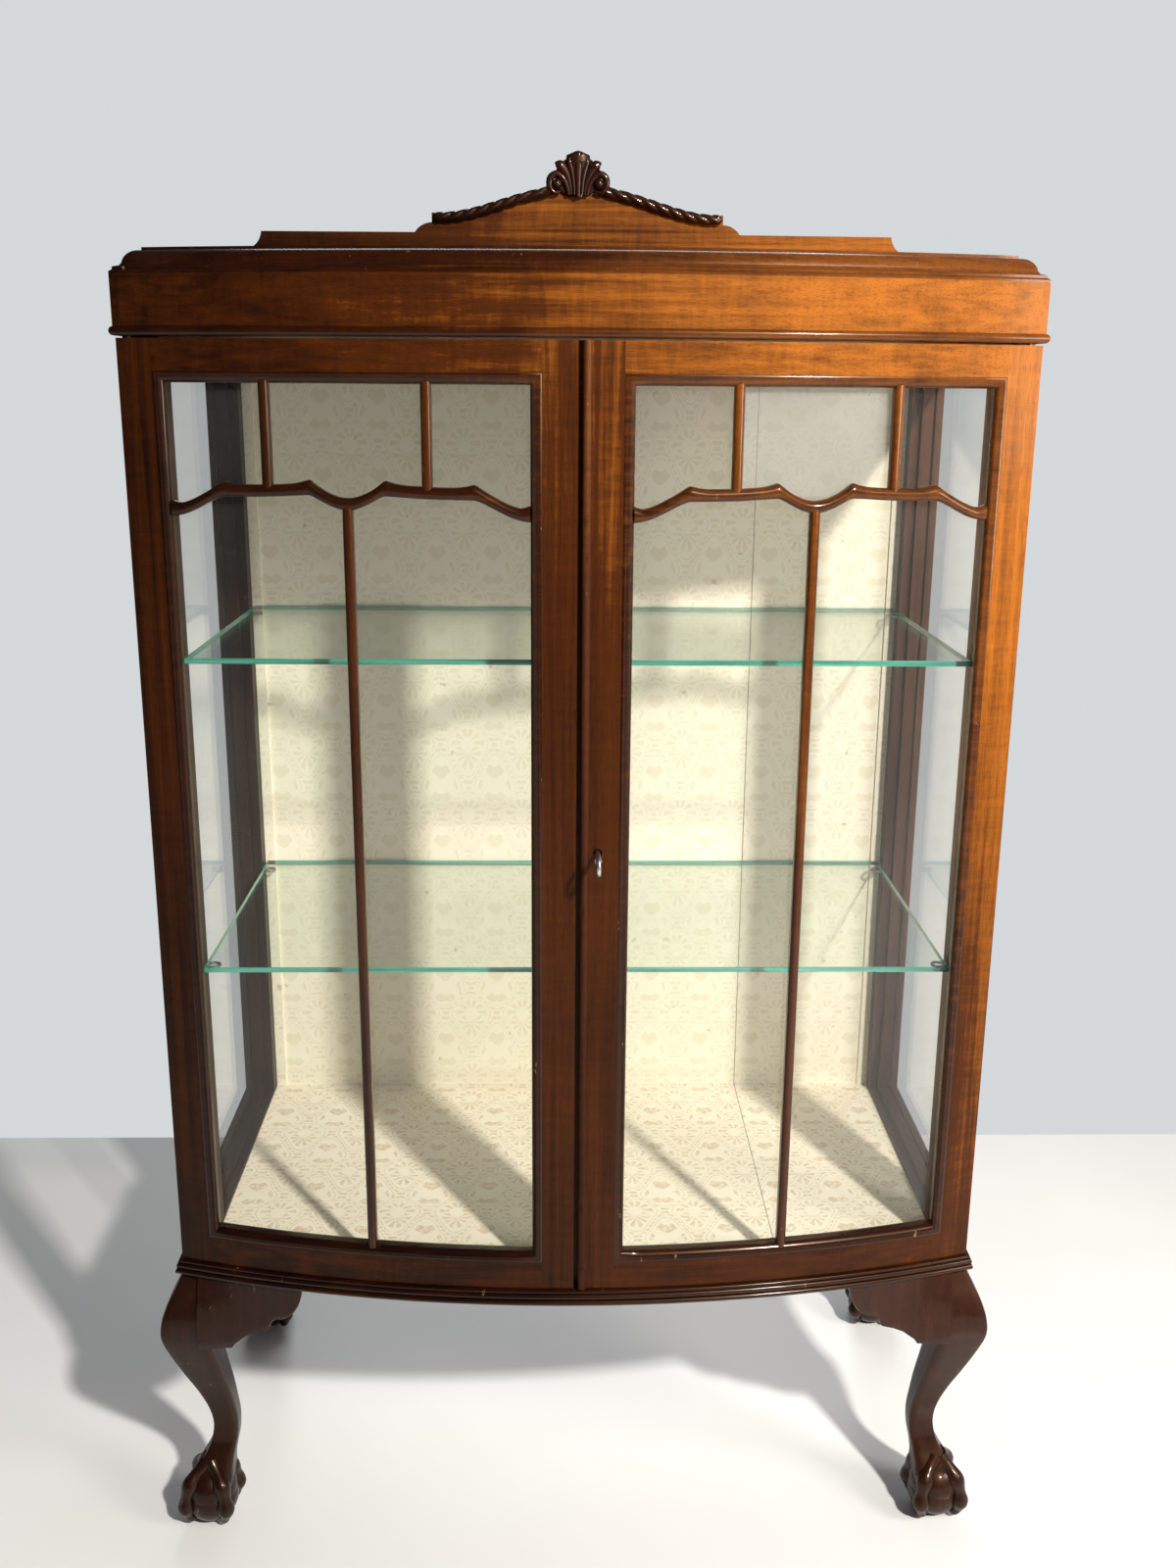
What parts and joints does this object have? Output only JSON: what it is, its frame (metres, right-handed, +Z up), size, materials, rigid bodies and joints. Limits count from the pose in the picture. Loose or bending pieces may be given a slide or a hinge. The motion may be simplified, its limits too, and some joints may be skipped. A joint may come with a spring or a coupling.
{
  "type": "china cabinet with glass doors",
  "caption": "Bow-fronted mahogany china cabinet with curved glazed doors, glass shelves, carved gallery and cabriole legs.",
  "frame": {"origin": "on the floor, at the middle of the bounding box", "axes": "+X to the cabinet's right as seen from the front, +Y to its back, +Z up"},
  "size_m": [0.9728, 0.5584, 1.6282],
  "materials": {
    "mahogany": "french polished, satin",
    "carved_wood": "dark stained, polished carving",
    "inner_wood": "thin old stain, matt",
    "panel_wood": "thin board, unfinished",
    "glass": "clear polished glass",
    "lining": "woven damask, matt",
    "brass": "aged",
    "steel": "dulled bright steel"
  },
  "bodies": {
    "carcass": {"back_lining": "lining", "back_panel": "panel_wood", "bottom_board": "mahogany", "carcass_pivot_plates": "brass", "cornice_front": "mahogany", "cornice_returns": "mahogany", "cornice_top": "inner_wood", "floor_lining": "lining", "frieze_back_rail": "inner_wood", "frieze_bead": "mahogany", "frieze_front": "mahogany", "frieze_returns": "mahogany", "front_left_leg": "carved_wood", "front_right_leg": "carved_wood", "gallery_board": "mahogany", "inner_floor": "inner_wood", "knee_brackets": "mahogany", "left_front_post": "mahogany", "left_rear_post": "mahogany", "lower_shelf": "glass", "plinth_moulding_front": "mahogany", "plinth_moulding_returns": "mahogany", "rear_left_leg": "carved_wood", "rear_right_leg": "carved_wood", "right_front_post": "mahogany", "right_rear_post": "mahogany", "rope_mouldings": "carved_wood", "shelf_screw_eyes": "steel", "shell_carving": "carved_wood", "side_glazing_beads": "mahogany", "side_panes": "glass", "side_rails": "mahogany", "top_board": "mahogany", "upper_shelf": "glass"},
    "left_door": {"left_door_bolt_guides": "brass", "left_door_bottom_rail": "mahogany", "left_door_hinge_stile": "mahogany", "left_door_meeting_stile": "mahogany", "left_door_mouldings": "mahogany", "left_door_panes": "glass", "left_door_pivot_sockets": "brass", "left_door_top_rail": "mahogany", "left_door_upright_bars": "mahogany", "left_door_wavy_bar": "mahogany", "lock_keeper": "brass"},
    "right_door": {"right_door_bottom_rail": "mahogany", "right_door_hinge_stile": "mahogany", "right_door_meeting_stile": "mahogany", "right_door_mouldings": "mahogany", "right_door_panes": "glass", "right_door_pivot_sockets": "brass", "right_door_top_rail": "mahogany", "right_door_upright_bars": "mahogany", "right_door_wavy_bar": "mahogany", "meeting_bead": "mahogany", "lock_case": "brass"},
    "left_top_bolt": {"left_door_top_bolt": "brass"},
    "left_bottom_bolt": {"left_door_bottom_bolt": "brass"},
    "lock_bolt": {"lock_bolt": "brass"},
    "key": {"key": "steel"}
  },
  "joints": [
    {"name": "left_door_hinge", "type": "hinge", "parent": "carcass", "child": "left_door", "pos_m": [-0.449, -0.15074, 0.883], "axis": [0, 0, -1], "range_deg": [0, 105]},
    {"name": "right_door_hinge", "type": "hinge", "parent": "carcass", "child": "right_door", "pos_m": [0.449, -0.15074, 0.883], "axis": [0, 0, 1], "range_deg": [0, 105]},
    {"name": "left_top_bolt_slide", "type": "slide", "parent": "left_door", "child": "left_top_bolt", "axis": [0, 0, 1], "range_m": [0, 0.008]},
    {"name": "left_bottom_bolt_slide", "type": "slide", "parent": "left_door", "child": "left_bottom_bolt", "axis": [0, 0, -1], "range_m": [0, 0.008]},
    {"name": "key_turn", "type": "hinge", "parent": "right_door", "child": "key", "pos_m": [0.018, -0.2, 0.886], "axis": [0, -1, 0], "range_deg": [0, 180]},
    {"name": "lock_bolt_slide", "type": "slide", "parent": "right_door", "child": "lock_bolt", "axis": [-1, 0, 0], "range_m": [0, 0.01]}
  ],
  "couplings": [
    {"joint": "lock_bolt_slide", "follows": "key_turn", "m_per_rad": 0.0031826}
  ]
}
